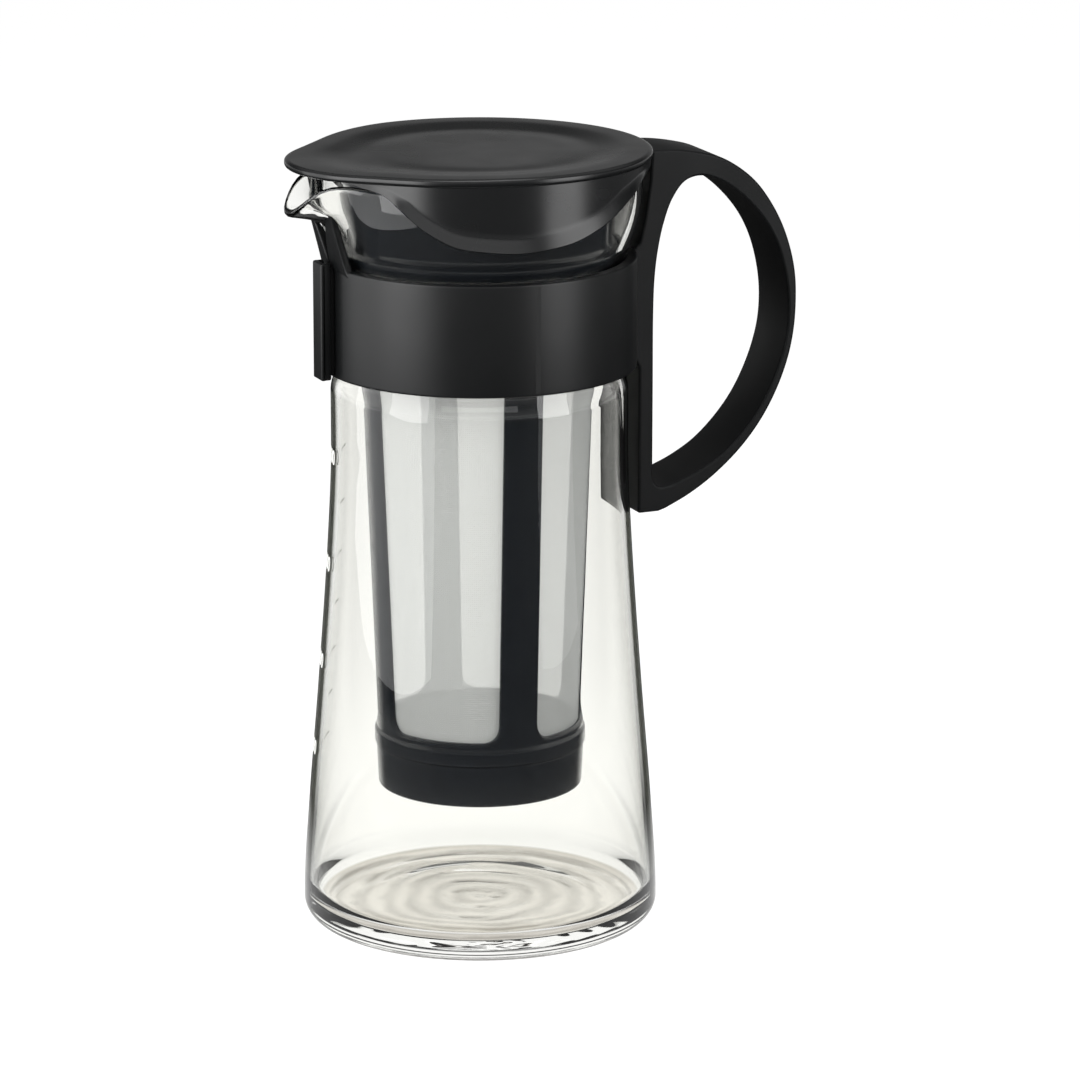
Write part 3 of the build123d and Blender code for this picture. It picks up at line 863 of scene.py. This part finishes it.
def lid_edge(angle):
    """Distance from the axis to the lid's outline: a circle drawn out to a rounded nose."""
    off = abs((angle + pi) % tau - pi)
    nose_at = NOSE_TIP - NOSE_R
    lean = (LID_R - NOSE_R) / nose_at
    tangent = atan2(sqrt(1 - lean * lean), lean)
    nose_end = atan2(NOSE_R * sin(tangent), nose_at + NOSE_R * cos(tangent))
    if off >= tangent:
        return LID_R
    if off <= nose_end:
        return nose_at * cos(off) + sqrt(NOSE_R**2 - (nose_at * sin(off)) ** 2)
    return LID_R / cos(tangent - off)


def nose_drop(x):
    """How far the lid bends down towards its nose."""
    return BEND * smooth_step((BEND_FROM - x) / BEND_LENGTH)


def lid_plate_skin(dish):
    """The saucer: a nearly flat middle, a shallow moat, a wall that rises to the brim, and a round rim."""
    spots = [(a, lid_edge(a)) for a in ANGLES]
    saucer = height_curve(
        [(0, -dish), (20, -dish), (23, -dish - 0.03), (27, -dish - 0.16), (29, -dish - 0.09), (34.5, -0.06),
         (36.5, 0.03), (38.5, 0.04)]
    )

    def surface(r, a, e):
        """Height of the top face; towards the nose, the saucer is stretched with the outline."""
        stretch = (e - LID_R) / e * smooth_step((r - 24) / 12)
        return SAUCER_Z + saucer(r * (1 - stretch)) - nose_drop(-r * cos(a))

    def brim(share, a, e):
        r = BRIM_R + (e - LID_ROUND - BRIM_R) * share
        return polar(r, a, surface(r, a, e))

    def rim(turn, a, e):
        r = e - LID_ROUND
        return polar(r + LID_ROUND * sin(turn), a, surface(r, a, e) - RIM_DROP * (1 - cos(turn)))

    def under(e, a, z, in_by=0.0):
        return polar(e - in_by, a, z - UNDER_BEND * nose_drop(-e * cos(a)))

    saucer_radii = (3, 8, 13, 17, *range(20, BRIM_R + 1))
    rings = [[polar(r, a, surface(r, a, e)) for a, e in spots] for r in saucer_radii]
    rings += [[brim(k / 4, a, e) for a, e in spots] for k in range(1, 5)]
    rings += [[rim(turn, a, e) for a, e in spots] for turn in quarter_turn(14)[1:]]
    for turn in quarter_turn(6):
        in_by, z = UNDER_ROUND * (1 - cos(turn)), LID_SIDE_LOW - UNDER_ROUND * sin(turn)
        rings.append([under(e, a, z, in_by) for a, e in spots])
    for share in (0.96, 0.93, 0.88, 0.8, 0.7, 0.5, 0.25):
        rings.append([under(e * share, a, LID_UNDER) for a, e in spots])
    return skin(rings, first=(0, 0, SAUCER_Z - dish), last=(0, 0, LID_UNDER))


FLAP_R, FLAP_THICK, FLAP_FLARE, FLAP_STEPS = 41.1, 1.3, 1.1, 120
FLAP_FRONT, FLAP_BACK = -38.4, 39.4
FLAP_EDGE = smooth_line(
    [(-38.5, 187.9), (-33.6, 186.4), (-30.6, 183.6), (-27.3, 179.8), (-23.7, 177.1), (-20, 175.2),
     (-13, 174.1), (-6, 173.7), (0, 174.2), (7, 175.3), (12.4, 177.1), (17.5, 179.3), (21.6, 181.7),
     (25.5, 184.0), (29, 186.0), (33, 187.4), (39.5, 188.4)], 8
)
LIP_TALL = 3.6
FINGER_LIP = ((0.0, 0.0), (0.12, 0.06), (0.3, 0.24), (0.55, 0.55), (0.8, 0.86), (0.93, 1.0))  # down, out


def flap_skin(side):
    """One side skirt with its turned-out finger lip, thinned to nothing at both ends."""
    start, end = (pi - atan2(sqrt(FLAP_R**2 - x**2), x) for x in (FLAP_FRONT, FLAP_BACK))
    inner, top = FLAP_R - FLAP_THICK, LID_SIDE_LOW
    rings = []
    for j in range(FLAP_STEPS + 1):
        a = start + (end - start) * j / FLAP_STEPS
        low = height_on(FLAP_EDGE, -FLAP_R * cos(a), before=FLAP_EDGE[0][1], after=FLAP_EDGE[-1][1])
        tall = min(LIP_TALL, 0.45 * (top - low))
        crease = low + tall
        flare = FLAP_FLARE * smooth_step((tall - 0.8) / 2.2)
        section = [(FLAP_R, top + (crease - top) * share) for share in (0.0, 0.25, 0.5, 0.75, 0.9)]
        section += [(FLAP_R + flare * out, crease + (low - crease) * down) for down, out in FINGER_LIP]
        section += [(FLAP_R + flare * 0.92, low + 0.02), (FLAP_R + flare * 0.6 - 0.1, low)]
        section += [(FLAP_R - 0.5, low + 0.12), (inner, low + min(0.9, tall * 0.4)), (inner, top)]
        rings.append([polar(r, side * a, z) for r, z in section])
    return skin(rings, first="cap", last="cap")


def seat_skin():
    """Seat ring and short plug under the lid; the plug drops into the filter's collar."""
    seat = [(29.4, 189.8), (33.4, 189.8), (32.9, 185.62), (30.8, 185.62)]
    plug = [(30.5, 181.8), (30.2, 181.5), (29.6, 181.5), (29.4, 181.8)]
    return turned(seat + plug, wrap=True)


class BREW_OT_lid(bpy.types.Operator):
    """Build the saucer lid with its nose, side skirts, finger lips, seat ring and plug"""

    bl_idname = "brew.lid"
    bl_label = "Lid"

    def execute(self, context):
        plate = lid_plate_skin(context.scene.brew_sizes.dish_depth / MM)
        shells = [plate, flap_skin(1), flap_skin(-1), seat_skin()]
        finish_piece("lid_moulding", shells, lid_polypropylene(), "lid", "lid")
        return {"FINISHED"}


# ---------------- filter
SILL, LINTEL, RIB, WINDOW_CORNER = 50.2, 152.0, 10.0, 4.0
CAGE_LOW, CAGE_HIGH, CAGE_WALL = 48.8, 156.5, 1.2
CAGE_R, CAGE_TAPER = 25.35, 0.0395  # outer radius at the sill, and its growth with height
SIDE_STEPS, END_STEPS, CORNER_STEPS = 26, 14, 5
END_BAND = 1.3  # height at a window's ends within which its outline meets the cage's end
MESH_LOW, MESH_HIGH, MESH_STEPS = SILL - 0.05, 158.0, 24
MESH_GAP, MESH_THICK = CAGE_WALL + 0.06, 0.35
MESH_SQUARE = 100  # height at which the threads of the tapered sleeve are square


def cage_radius(z):
    """Outer radius of the tapered cage."""
    return CAGE_R + CAGE_TAPER * (z - SILL)


def half_window(z):
    """Half the width of a window, measured round the cage."""
    return cage_radius(z) * (pi / 4) - RIB / 2


def window_line(grow):
    """A window's outline, grown all round, as (way round the cage, height) from the middle of its sill."""
    low, high, corner = SILL - grow, LINTEL + grow, WINDOW_CORNER + grow

    def half(z):
        return half_window(z) + grow

    right = [((half(low) - corner) * 2 * k / END_STEPS, low) for k in range(END_STEPS // 2)]
    for t in quarter_turn(CORNER_STEPS):
        right.append((half(low + corner) - corner + corner * sin(t), low + corner - corner * cos(t)))
    for k in range(1, SIDE_STEPS):
        z = low + corner + (high - low - 2 * corner) * k / SIDE_STEPS
        right.append((half(z), z))
    for t in quarter_turn(CORNER_STEPS):
        right.append((half(high - corner) - corner + corner * cos(t), high - corner + corner * sin(t)))
    for k in range(1, END_STEPS // 2 + 1):
        right.append(((half(high) - corner) * (1 - 2 * k / END_STEPS), high))
    return right + [(-u, z) for u, z in reversed(right[1:-1])]


def quadrant_line(line):
    """The quadrant's own border, matched point by point to the window's outline, as (angle, height)."""
    low = min(z for _, z in line) + END_BAND
    high = max(z for _, z in line) - END_BAND
    border = []
    for u, z in line:
        if low <= z <= high:
            height = CAGE_LOW + (CAGE_HIGH - CAGE_LOW) * (z - low) / (high - low)
            border.append((pi / 4 if u > 0 else -pi / 4, height))
        else:
            share = max(-1.0, min(1.0, u / half_window(z) * 1.12))
            border.append((share * pi / 4, CAGE_LOW if z < low else CAGE_HIGH))
    return border


def cage_quarter(centre, border_mm):
    """A quarter of the cage: its outer face, the window's rounded border, and its inner face."""
    nominal, grown = window_line(0.0), window_line(border_mm)
    quadrant = quadrant_line(grown)

    def place(angle, z, depth):
        return polar(cage_radius(z) - depth, centre + angle, z)

    def between(line, share, depth):
        """The ring that lies at a share of the way from a window's outline to the quadrant's border."""
        ring = []
        for (u, z), (b, bz) in zip(line, quadrant):
            angle = u / cage_radius(z)
            ring.append(place(angle + (b - angle) * share, z + (bz - z) * share, depth))
        return ring

    rings = [between(grown, share, 0.0) for share in (1.0, 0.8, 0.6, 0.4, 0.2, 0.08, 0.0)]
    for turn in quarter_turn(5)[1:]:
        ring = []
        for (u0, z0), (u1, z1) in zip(grown, nominal):
            u, z = u0 + (u1 - u0) * sin(turn), z0 + (z1 - z0) * sin(turn)
            ring.append(place(u / cage_radius(z), z, border_mm * (1 - cos(turn))))
        rings.append(ring)
    rings += [between(nominal, share, CAGE_WALL) for share in (0.0, 0.3, 0.7, 1.0)]
    return skin(rings)


def border_angles(border_mm, height):
    """Angles round the whole cage at which its quadrants meet a level ring."""
    border = quadrant_line(window_line(border_mm))
    quarter = sorted({round(b, 9) for b, z in border if abs(z - height) < 1e-6})
    quarter = [-pi / 4] + [a for a in quarter if -pi / 4 + 1e-6 < a < pi / 4 - 1e-6]
    return [pi / 4 + q * pi / 2 + a for q in range(4) for a in quarter]


def collar_line():
    """From the cage's outer face up over the seat flange and collar, and down inside to its inner face."""
    return [
        (cage_radius(CAGE_HIGH), CAGE_HIGH), (29.75, 161.5), (29.95, 162.9), (30.5, 163.8), (31.5, 164.5),
        (32.4, 165.4), (33.0, 166.4), (33.45, 167.3), (33.62, 167.9), (33.5, 168.35), (33.15, 168.6),
        (32.6, 168.72), (32.15, 168.95), (31.9, 169.4), (31.86, 170.2), (32.1, 174.0), (32.35, 178.0),
        (32.62, 182.6), (32.72, 183.35), (33.0, 183.75), (33.4, 184.0), (33.58, 184.4), (33.58, 185.1),
        (33.4, 185.45), (33.0, 185.6), (32.1, 185.6), (31.75, 185.5), (31.6, 185.2), (31.3, 180.0),
        (30.6, 169.2), (30.2, 166.5), (28.75, 163.2), (28.6, 161.5),
        (cage_radius(CAGE_HIGH) - CAGE_WALL, CAGE_HIGH),
    ]


def foot_line():
    """From the cage's outer face down over the lower ring and spigot, and back up inside."""
    return [
        (cage_radius(CAGE_LOW), CAGE_LOW), (25.42, 48.5), (25.62, 48.25), (25.78, 47.9), (25.8, 47.4),
        (25.8, 45.0), (25.75, 44.7), (25.5, 44.5), (25.2, 44.44), (23.4, 44.44), (23.4, 38.9), (23.2, 38.6),
        (22.5, 38.6), (22.3, 38.9), (22.3, 45.2), (cage_radius(CAGE_LOW) - CAGE_WALL, CAGE_LOW),
    ]


class BREW_OT_filter_frame(bpy.types.Operator):
    """Build the filter frame: collar, seat flange, cage with four rounded windows, lower ring"""

    bl_idname = "brew.filter_frame"
    bl_label = "Filter Frame"

    def execute(self, context):
        border_mm = context.scene.brew_sizes.window_border / MM
        shells = [cage_quarter(pi / 4 + quarter * pi / 2, border_mm) for quarter in range(4)]
        shells.append(turned(collar_line(), border_angles(border_mm, CAGE_HIGH)))
        shells.append(turned(foot_line(), border_angles(border_mm, CAGE_LOW)))
        slate = filter_polypropylene()
        finish_piece("filter_frame_moulding", shells, slate, "filter", "filter_frame")
        return {"FINISHED"}


class BREW_OT_filter_mesh(bpy.types.Operator):
    """Build the woven sleeve that lines the cage"""

    bl_idname = "brew.filter_mesh"
    bl_label = "Filter Mesh"

    def execute(self, context):
        heights = [MESH_LOW + (MESH_HIGH - MESH_LOW) * k / MESH_STEPS for k in range(MESH_STEPS + 1)]
        outer = [(cage_radius(z) - MESH_GAP, z) for z in heights]
        inner = [(cage_radius(z) - MESH_GAP - MESH_THICK, z) for z in reversed(heights)]
        sleeve, cloth = turned(outer + inner, wrap=True), woven_polyester()
        mesh = finish_piece("filter_mesh_sleeve", [sleeve], cloth, "filter", "filter_mesh").data
        layer = mesh.uv_layers.new(name="weave")
        around = cage_radius(MESH_SQUARE) * MM
        for polygon in mesh.polygons:
            middle = atan2(polygon.center.y, polygon.center.x)
            for index in polygon.loop_indices:
                co = mesh.vertices[mesh.loops[index].vertex_index].co
                turn = atan2(co.y, co.x)
                turn += tau * round((middle - turn) / tau)
                layer.data[index].uv = (turn * around, co.z)
        return {"FINISHED"}


class BREW_OT_filter_cap(bpy.types.Operator):
    """Build the pull-off cup that closes the filter's foot"""

    bl_idname = "brew.filter_cap"
    bl_label = "Filter Cap"

    def execute(self, context):
        low, floor, high = 33.8, 35.3, 44.3
        corners = [(24.9, low, 2.6), (25.4, high, 0.35), (23.55, high, 0.2), (23.55, floor, 0.8)]
        wall = rounded_outline(corners, 0.3, 8)
        shell = turned([(18, low)] + wall, first=(0, 0, low), last=(0, 0, floor))
        slate = filter_polypropylene()
        finish_piece("filter_cap_moulding", [shell], slate, "filter_cap", "filter_cap")
        return {"FINISHED"}


# ---------------- stage
CAMERA_AT = (-0.48699, -1.20534, 0.4326)
CAMERA_YAW, CAMERA_PITCH, CAMERA_ROLL = radians(22.6465), radians(14.5802), radians(0.0846)
BEYOND = (sin(radians(160)), -cos(radians(160)), 0.0)  # towards the backdrop, level
FLOOR_REACH, FLOOR_DROP = 6.0, 0.2 * MM
GLOW_REACH = 2.5  # how far out the floor's tones in reflections change


def soft_box(name, at, aim, size, radiance):
    """An area lamp aimed at a point, as bright as the radiance given. It is seen neither itself nor
    through the glass."""
    data = bpy.data.lights.new(name, "AREA")
    data.shape = "RECTANGLE"
    data.size, data.size_y = size
    data.energy = pi * size[0] * size[1] * radiance
    lamp = bpy.data.objects.new(name, data)
    lamp.location = at
    lamp.rotation_euler = (Vector(aim) - Vector(at)).to_track_quat("-Z", "Y").to_euler()
    lamp.visible_camera = lamp.visible_transmission = False
    bpy.context.scene.collection.objects.link(lamp)


def upright_box(name, azimuth, distance, heights, width, radiance):
    """A soft box that stands at an azimuth from the front, between two heights, facing the object."""
    turn = radians(azimuth)
    middle = (heights[0] + heights[1]) / 2
    at = (sin(turn) * distance, -cos(turn) * distance, middle)
    soft_box(name, at, (0.0, 0.0, middle), (width, heights[1] - heights[0]), radiance)


def light_paths(tree, towards, low, high):
    """Two masks. One is for what is seen straight or through glass, and by way of a reflection inside the
    glass only as far as that leads on to the backdrop, between two cosines. The other is for what is seen
    in a reflection. Neither holds after a matte surface."""
    ray = add_node(tree, "ShaderNodeLightPath").outputs
    flat = add_node(tree, "ShaderNodeVectorMath", {0: towards, 1: (1.0, 1.0, 0.0)}, operation="MULTIPLY")
    level = add_node(tree, "ShaderNodeVectorMath", {0: flat}, operation="NORMALIZE")
    side = add_node(tree, "ShaderNodeVectorMath", {0: level, 1: BEYOND}, operation="DOT_PRODUCT")
    cosine = {"Value": side.outputs["Value"], "From Min": low, "From Max": high}
    ahead = add_node(tree, "ShaderNodeMapRange", cosine)
    either = {0: ray["Is Camera Ray"], 1: ray["Is Transmission Ray"]}
    straight = add_node(tree, "ShaderNodeMath", either, operation="MAXIMUM")
    mirrored = add_node(tree, "ShaderNodeMath", {0: ray["Glossy Depth"], 1: 0.5}, operation="GREATER_THAN")
    plain = add_node(tree, "ShaderNodeMath", {0: mirrored, 1: 0.5}, operation="LESS_THAN")
    glass_depth = ray["Transmission Depth"]
    through = add_node(tree, "ShaderNodeMath", {0: glass_depth, 1: 1.5}, operation="GREATER_THAN")
    beyond = add_node(tree, "ShaderNodeMath", {0: through, 1: ahead}, operation="MULTIPLY")
    clean = add_node(tree, "ShaderNodeMath", {0: plain, 1: beyond}, operation="MAXIMUM")
    direct = add_node(tree, "ShaderNodeMath", {0: straight, 1: clean}, operation="MULTIPLY")
    unscattered = add_node(tree, "ShaderNodeMath", {0: ray["Diffuse Depth"], 1: 0.5}, operation="LESS_THAN")
    seen = add_node(tree, "ShaderNodeMath", {0: direct, 1: unscattered}, operation="MULTIPLY")
    reflected = add_node(tree, "ShaderNodeMath", {0: mirrored, 1: unscattered}, operation="MULTIPLY")
    return seen, reflected


def pale_paper():
    """White sweep paper, matte: plain white where it is seen, in distant reflections and right under the
    glass, with the object's faint shadow on it. In between, its reflection is toned down, so that black
    plastic stays black."""
    material, tree = new_material("sweep_paper_white")
    place = add_node(tree, "ShaderNodeTexCoord").outputs["Object"]
    seen, reflected = light_paths(tree, place, 0.62, 0.8)
    plain = add_node(tree, "ShaderNodeBsdfDiffuse", {"Color": linear("#e4e4e4")})

    far = add_node(tree, "ShaderNodeVectorMath", {0: place}, operation="LENGTH").outputs["Value"]
    reach = add_node(tree, "ShaderNodeMath", {0: far, 1: 1 / GLOW_REACH}, operation="MULTIPLY")
    stops = ((0.024, grey(0.85)), (0.05, grey(0.0)), (0.32, grey(0.0)), (0.88, grey(0.95)))
    level = add_node(tree, "ShaderNodeValToRGB", {"Fac": reach}, stops)
    mirrored_paper = add_node(tree, "ShaderNodeBsdfDiffuse", {"Color": linear("#444444")})
    glow = add_node(tree, "ShaderNodeEmission", {"Color": level, "Strength": 1.0})
    mirrored = add_node(tree, "ShaderNodeAddShader", {0: mirrored_paper, 1: glow})

    seen_paper = add_node(tree, "ShaderNodeBsdfDiffuse", {"Color": linear("#828282")})
    white = add_node(tree, "ShaderNodeEmission", {"Color": grey(1.0), "Strength": 0.93})
    seen_sum = add_node(tree, "ShaderNodeAddShader", {0: seen_paper, 1: white})

    gloss = add_node(tree, "ShaderNodeMixShader", {0: reflected, 1: plain, 2: mirrored})
    mix = add_node(tree, "ShaderNodeMixShader", {0: seen, 1: gloss, 2: seen_sum})
    add_node(tree, "ShaderNodeOutputMaterial", {"Surface": mix})
    return material


def studio_world():
    """White where it is seen. In reflections it is the studio round the table: pale low down, where the
    sweep paper ends, darker above that, and pale again towards the ceiling."""
    world = bpy.data.worlds.new("studio")
    world.use_nodes = True
    tree = world.node_tree
    tree.nodes.clear()
    towards = add_node(tree, "ShaderNodeTexCoord").outputs["Generated"]
    seen, reflected = light_paths(tree, towards, -0.6, -0.3)
    height = add_node(tree, "ShaderNodeSeparateXYZ", {"Vector": towards}).outputs["Z"]
    tones = ((0.0, 0.32), (0.18, 0.3), (0.25, 0.2), (0.31, 0.03), (0.45, 0.03), (0.53, 0.3), (0.8, 0.4))
    stops = [(at, grey(tone)) for at, tone in tones]
    room_tone = add_node(tree, "ShaderNodeValToRGB", {"Fac": height}, stops)
    mirrored = add_node(tree, "ShaderNodeBackground", {"Color": room_tone, "Strength": 1.0})
    room = add_node(tree, "ShaderNodeBackground", {"Color": grey(1.0), "Strength": 0.25})
    white = add_node(tree, "ShaderNodeBackground", {"Color": grey(1.0), "Strength": 1.0})
    unseen = add_node(tree, "ShaderNodeMixShader", {0: reflected, 1: room, 2: mirrored})
    mix = add_node(tree, "ShaderNodeMixShader", {0: seen, 1: unseen, 2: white})
    add_node(tree, "ShaderNodeOutputWorld", {"Surface": mix})
    return world


def stage_floor():
    """A square of sweep paper, a hair under the jug's foot."""
    mesh = bpy.data.meshes.new("floor")
    corners = [(x * FLOOR_REACH, y * FLOOR_REACH, 0) for x, y in ((-1, -1), (1, -1), (1, 1), (-1, 1))]
    mesh.from_pydata(corners, [], [(0, 1, 2, 3)])
    mesh.materials.append(pale_paper())
    floor = bpy.data.objects.new("floor", mesh)
    bpy.context.scene.collection.objects.link(floor)
    floor.location.z = -FLOOR_DROP


def stage_camera():
    """The camera, yawed, pitched and rolled from level."""
    data = bpy.data.cameras.new("camera")
    data.sensor_width, data.lens = 36.0, 183.904
    data.clip_start, data.clip_end = 0.05, 50.0
    camera = bpy.data.objects.new("camera", data)
    camera.matrix_world = (
        Matrix.Translation(CAMERA_AT)
        @ Matrix.Rotation(-CAMERA_YAW, 4, "Z")
        @ Matrix.Rotation(pi / 2 - CAMERA_PITCH, 4, "X")
        @ Matrix.Rotation(CAMERA_ROLL, 4, "Z")
    )
    bpy.context.scene.collection.objects.link(camera)
    bpy.context.scene.camera = camera


class BREW_OT_stage(bpy.types.Operator):
    """Set up the floor, the soft studio light and the camera"""

    bl_idname = "brew.stage"
    bl_label = "Stage"

    def execute(self, context):
        stage_floor()
        context.scene.world = studio_world()
        upright_box("left_box", -92, 0.42, (0.005, 0.55), 0.62, 2.1)
        upright_box("left_strip", -76, 0.43, (0.062, 0.55), 0.24, 3.4)
        upright_box("right_box", 37, 0.49, (0.005, 0.55), 0.26, 0.9)
        upright_box("right_strip", 35, 0.50, (0.058, 0.55), 0.23, 4.0)
        soft_box("top_box", (0.0, 0.0, 1.1), (0.0, 0.0, 0.1), (0.6, 0.6), 3.0)
        soft_box("front_box", (-0.28, -0.70, 0.50), (0.0, 0.0, 0.17), (0.9, 0.3), 1.4)
        stage_camera()
        context.scene.view_settings.view_transform = "Standard"
        return {"FINISHED"}


# ---------------- panel and registration
OPERATORS = (
    BREW_OT_jug,
    BREW_OT_scale,
    BREW_OT_handle,
    BREW_OT_clip,
    BREW_OT_lid,
    BREW_OT_filter_frame,
    BREW_OT_filter_mesh,
    BREW_OT_filter_cap,
    BREW_OT_stage,
)


class BREW_PT_panel(bpy.types.Panel):
    bl_label = "Coffee Maker"
    bl_idname = "BREW_PT_panel"
    bl_space_type = "VIEW_3D"
    bl_region_type = "UI"
    bl_category = "Coffee Maker"

    def draw(self, context):
        for group in (context.scene.brew_sizes, context.scene.brew_colours):
            for name in group.__annotations__:
                self.layout.prop(group, name)
        for operator in OPERATORS:
            self.layout.operator(operator.bl_idname)


CLASSES = (BrewSizes, BrewColours, *OPERATORS, BREW_PT_panel)


def register():
    for each in CLASSES:
        bpy.utils.register_class(each)
    bpy.types.Scene.brew_sizes = bpy.props.PointerProperty(type=BrewSizes)
    bpy.types.Scene.brew_colours = bpy.props.PointerProperty(type=BrewColours)


def unregister():
    del bpy.types.Scene.brew_colours
    del bpy.types.Scene.brew_sizes
    for each in reversed(CLASSES):
        bpy.utils.unregister_class(each)


def main():
    register()
    bpy.ops.brew.jug()
    bpy.ops.brew.scale()
    bpy.ops.brew.handle()
    bpy.ops.brew.clip()
    bpy.ops.brew.lid()
    bpy.ops.brew.filter_frame()
    bpy.ops.brew.filter_mesh()
    bpy.ops.brew.filter_cap()
    bpy.ops.brew.stage()


if __name__ == "__main__":
    main()
